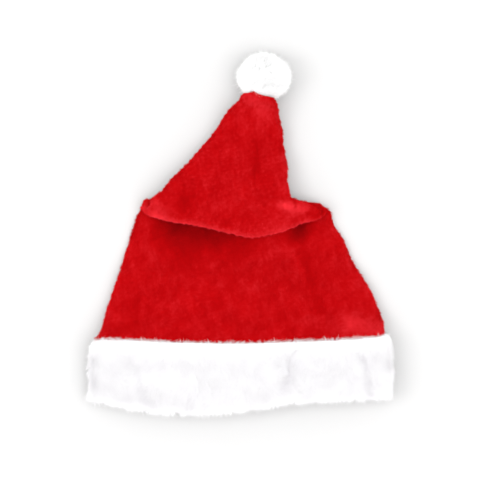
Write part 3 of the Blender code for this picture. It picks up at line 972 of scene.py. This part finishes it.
def crown_pile(name, chance, count, weight, layer):
    roots, normals, along, _ = crown_grid.scatter(chance, count, weight)
    across, up = tangent_frame(normals, along)
    swirl = 0.55 * Waves(21, 0.045)(roots) + 0.22 * Waves(22, 0.012)(roots)
    swirl += chance.normal(size=count) * 0.35
    nap = drooped(normals, across * np.sin(swirl)[:, None] - up * np.cos(swirl)[:, None])
    upright = ease(1.4 * (1 - np.abs(normals[:, 2])))
    lean = CROWN_LEAN + 0.03 * Waves(23, 0.020)(roots)
    lean = lean - 0.20 * upright * Waves(26, 0.0036)(roots)
    lean = np.clip(lean + chance.normal(size=count) * 0.10, 0.6, 1.36)
    length = CROWN_STRAND * chance.uniform(0.75, 1.15, count)
    tips = roots + (normals * np.cos(lean)[:, None] + nap * np.sin(lean)[:, None]) * length[:, None]
    for places in (tips, roots):
        places[:, 2] = np.maximum(places[:, 2], CROWN_LOWEST)
    half_width = CROWN_HALF_WIDTH * chance.uniform(0.8, 1.25, count)
    outward = unit(normals + chance.normal(size=(count, 3)) * 0.18)
    shade = normals + 0.12 * nap + chance.normal(size=(count, 3)) * 0.06
    shade = facing_up(shade, normals, 0.6, 0.6)
    mottle = 0.016 * Waves(24, 0.016)(roots) + 0.014 * Waves(25, 0.006)(roots)
    mottle += CROWN_GRAIN[layer] * Waves(27, 0.0030)(roots)
    # The tip's tone takes the crown's painted highlights and painted shade.
    tip_tone = CROWN_TONE + mottle + chance.normal(size=count) * 0.04 + painted_light_tone(roots, layer)
    joints = np.stack([roots, tips], axis=1)
    tones = (tip_tone - CROWN_ROOT_SHADE, tip_tone)
    return strand_mesh(name, joints, half_width, outward, shade, tones, RED_PLUSH)


def curved(roots, direction, bend, length):
    """Joints of strands that start along direction and turn towards bend."""
    steps = np.linspace(0.0, 1.0, CURVE_JOINTS)
    joints = [roots + length[:, None] * (s * direction + 0.5 * s * s * bend) for s in steps]
    return np.stack(joints, axis=1)


def clump_offsets(roots, chance, tufts, pull):
    """How far each strand's tip moves towards the middle of its tuft, and which tuft that is."""
    size = max(8, int(len(roots) * tufts))
    picks = roots[chance.choice(len(roots), size=size, replace=False)]
    tree = KDTree(len(picks))
    for i, p in enumerate(picks):
        tree.insert(Vector(p), i)
    tree.balance()
    nearest = np.array([tree.find(Vector(p))[1] for p in roots])
    return (picks[nearest] - roots) * pull, nearest


def crease_shade(points):
    """Painted shade: how much darker the cuff's pile is painted in its creases."""
    across = np.clip(points[:, 0] / HALF_CROWN, -1, 1)
    low, high = rim_line(across) + SHIFT[1], top_line(across) + SHIFT[1]
    share = (points[:, 1] - low) / (high - low)
    creases = [(*row[:-1], row[-1] / CREASES[0][-1]) for row in CREASES]
    return CREASE_SHADE * soft_lines(creases, across, share, CREASE_ASPECT)


def cuff_pile(name, chance, count, weight):
    roots, normals, along, row = cuff_grid.scatter(chance, count, weight)
    across, up = tangent_frame(normals, along)
    low = np.floor(row).astype(int) % len(profile)
    length = CUFF_STRAND * cuff_lengths[low] * chance.uniform(0.8, 1.15, count)
    near_top = ease((row - TOP_PILE_START) / TOP_PILE_ROWS) * (row < CUFF_FRONT_ROWS)
    length *= 1 + 0.12 * near_top * Waves(36, 0.0035)(roots)
    swirl = 0.7 * Waves(31, 0.050)(roots) + 0.4 * Waves(32, 0.015)(roots)
    swirl = swirl * (1 - 0.75 * near_top) + chance.normal(size=count) * 0.4
    nap = drooped(normals, across * np.sin(swirl)[:, None] - up * np.cos(swirl)[:, None])
    sideways = 1 - np.abs(normals[:, 2])
    lean = CUFF_LEAN + 0.10 * sideways + 0.04 * Waves(33, 0.018)(roots)
    lean = np.clip(lean + chance.normal(size=count) * 0.14, 0.2, 1.25)
    direction = normals * np.cos(lean)[:, None] + nap * np.sin(lean)[:, None]
    pull, tuft = clump_offsets(roots, chance, CUFF_TUFTS, 0.40)
    tuft_lean = chance.normal(size=(int(tuft.max()) + 1, 3))[tuft] * 0.16
    tuft_lean *= (1 - 0.5 * near_top)[:, None]
    bend = pull / np.maximum(length, 1e-4)[:, None] * 2 + nap * 0.45 - normals * 0.12 + tuft_lean
    bend += chance.normal(size=(count, 3)) * 0.18
    joints = curved(roots, direction, bend, length)
    joints[..., 2] = np.maximum(joints[..., 2], CUFF_LOWEST)
    half_width = CUFF_HALF_WIDTH * chance.uniform(0.8, 1.25, count)
    outward = unit(normals + chance.normal(size=(count, 3)) * 0.18)
    shade = normals + 0.15 * direction + 0.3 * tuft_lean + chance.normal(size=(count, 3)) * 0.08
    shade = facing_up(shade, normals, 0.6, 0.7)
    tip_tone = CUFF_TONE + 0.03 * Waves(34, 0.014)(roots) + chance.normal(size=count) * 0.05
    # Painted light towards the cuff's top, and painted shade in its creases.
    tip_tone += TOP_PILE_PAINTED_LIGHT * near_top**4 - crease_shade(roots) * (normals[:, 2] > 0)
    tones = (tip_tone - CUFF_ROOT_SHADE, tip_tone)
    return strand_mesh(name, joints, half_width, outward, shade, tones, WHITE_PLUSH)


def pompom_pile(name, chance, count):
    outward = sphere_directions(count, chance)
    angle = np.arccos(np.clip(outward @ TO_TIP, -1, 1))
    near = np.exp(-((angle / PILE_DIMPLE_ANGLE) ** 2))[:, None]
    over = near * ease((outward[:, 2:] - 0.10) / 0.40)
    under = near - over
    reach = POMPOM_REACH - PILE_DIMPLE * under + 0.025 * Waves(41, 0.30)(outward)[:, None]
    reach += np.clip(chance.normal(size=(count, 1)), -2.0, 1.4) * 0.05
    root_reach = POMPOM_CORE - PILE_DIMPLE * under - POMPOM_ROOT_DEPTH
    roots = POMPOM_MIDDLE + outward * POMPOM_RADII * root_reach
    tips = POMPOM_MIDDLE + outward * POMPOM_RADII * reach
    length = np.linalg.norm(tips - roots, axis=1)
    direction = unit(unit(tips - roots) + chance.normal(size=(count, 3)) * 0.42)
    pull, tuft = clump_offsets(outward, chance, POMPOM_TUFTS, 0.18)
    bend = pull * POMPOM_RADII / length[:, None] * 2
    bend += chance.normal(size=(int(tuft.max()) + 1, 3))[tuft] * 0.20
    bend += chance.normal(size=(count, 3)) * 0.30
    bend -= TO_TIP * (0.1 * over + 0.9 * under)
    joints = curved(roots, direction, bend, length)
    joints[..., 2] = np.maximum(joints[..., 2], POMPOM_LOWEST)
    half_width = POMPOM_HALF_WIDTH * chance.uniform(0.8, 1.25, count)
    facing = unit(outward + 0.8 * UP + chance.normal(size=(count, 3)) * 0.25)
    shade = outward + chance.normal(size=(count, 3)) * 0.10
    shade = facing_up(shade, outward, 0.8, 1.5)
    tip_tone = POMPOM_TONE + chance.normal(size=count) * 0.04
    tones = (tip_tone - POMPOM_ROOT_SHADE, tip_tone)
    return strand_mesh(name, joints, half_width, facing, shade, tones, WHITE_PLUSH)


quality = 1.0
every_ring = np.ones(RING)
visible = ease((crown_open - 0.10) / 0.35) * 0.92 + 0.08 * (crown_open > 0)
hidden_hem = (kinds == "hem")[:, None] * every_ring
hidden_hem[HEM_STEPS] = 0.5
visible = visible * (1 - hidden_hem)
upward = np.clip(ease((crown_grid.normals[..., 2] + 0.75) / 0.5), 0.0, 1.0)
is_tip = np.isin(kinds, ("lap", "tip"))[:, None] * every_ring
front = visible * upward

furred = cuff_lengths[:, None] > 0.2
cuff_weight = furred * (0.15 + 0.85 * ease((cuff_open - 0.1) / 0.4))
cuff_up = ease((cuff_grid.normals[..., 2] + 0.70) / 0.5)
outer_mask = (np.arange(len(profile)) < CUFF_FRONT_ROWS)[:, None] * every_ring

PILES = (
    # name, function, what it takes beside the dice and the count
    ("crown_pile_body", crown_pile, (front * (1 - is_tip), "body")),
    ("crown_pile_tip", crown_pile, (front * is_tip, "tip")),
    ("crown_pile_back", crown_pile, (visible * (1 - upward), "body")),
    ("cuff_pile_front", cuff_pile, (cuff_weight * cuff_up * outer_mask,)),
    ("cuff_pile_back", cuff_pile, (cuff_weight * (1 - cuff_up * outer_mask),)),
    ("pompom_pile", pompom_pile, ()),
)
dice = np.random.default_rng(2024)
piles = [make(name, dice, int(STRANDS[name] * quality), *rest) for name, make, rest in PILES]

for obj in [crown_obj, cuff_obj, core_obj, *piles]:
    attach(obj, RIDES_ON)
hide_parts("crown")
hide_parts("cuff")
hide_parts("pompom")


# The surface that the hat lies on, the light and the camera.
def floor():
    material = bpy.data.materials.new("white_table")
    material.use_nodes = True
    shader = material.node_tree.nodes["Principled BSDF"]
    set_inputs(shader, Base_Color=TABLE_COLOUR, Roughness=0.8, Specular_IOR_Level=0.2)
    mesh = bpy.data.meshes.new("table_top")
    reach = TABLE_REACH
    corners = [(-reach, -reach, 0), (reach, -reach, 0), (reach, reach, 0), (-reach, reach, 0)]
    mesh.from_pydata(corners, [], [(0, 1, 2, 3)])
    mesh.materials.append(material)
    obj = new_object("table_top", mesh)
    obj.location.z = TABLE_LEVEL
    obj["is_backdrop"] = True


def area_light(name, location, size, power):
    """A square light that faces the middle of the hat."""
    data = bpy.data.lights.new(name, "AREA")
    data.shape = "SQUARE"
    data.size = size
    data.energy = power
    obj = new_object(name, data)
    obj.location = location
    obj.rotation_euler = (Vector() - Vector(location)).to_track_quat("-Z", "Y").to_euler()
    obj.visible_camera = False


def lights():
    world = bpy.data.worlds.new("studio")
    world.use_nodes = True
    white = (1.0, 1.0, 1.0, 1.0)
    set_inputs(world.node_tree.nodes["Background"], Color=white, Strength=WORLD_STRENGTH)
    bpy.context.scene.world = world
    for softbox in SOFTBOXES:
        area_light(*softbox)


def camera():
    data = bpy.data.cameras.new("camera")
    data.sensor_width = SENSOR_WIDTH
    data.lens = data.sensor_width * (CAMERA_HEIGHT - SCALE_PLANE) / FRAME_WIDTH
    obj = new_object("camera", data)
    obj.location = (FRAME_MIDDLE[0], FRAME_MIDDLE[1], CAMERA_HEIGHT)
    bpy.context.scene.camera = obj


floor()
lights()
camera()
bpy.context.scene.view_settings.view_transform = "Standard"

[[list(corner) for corner in box] for box in (CAD_BOX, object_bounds())]
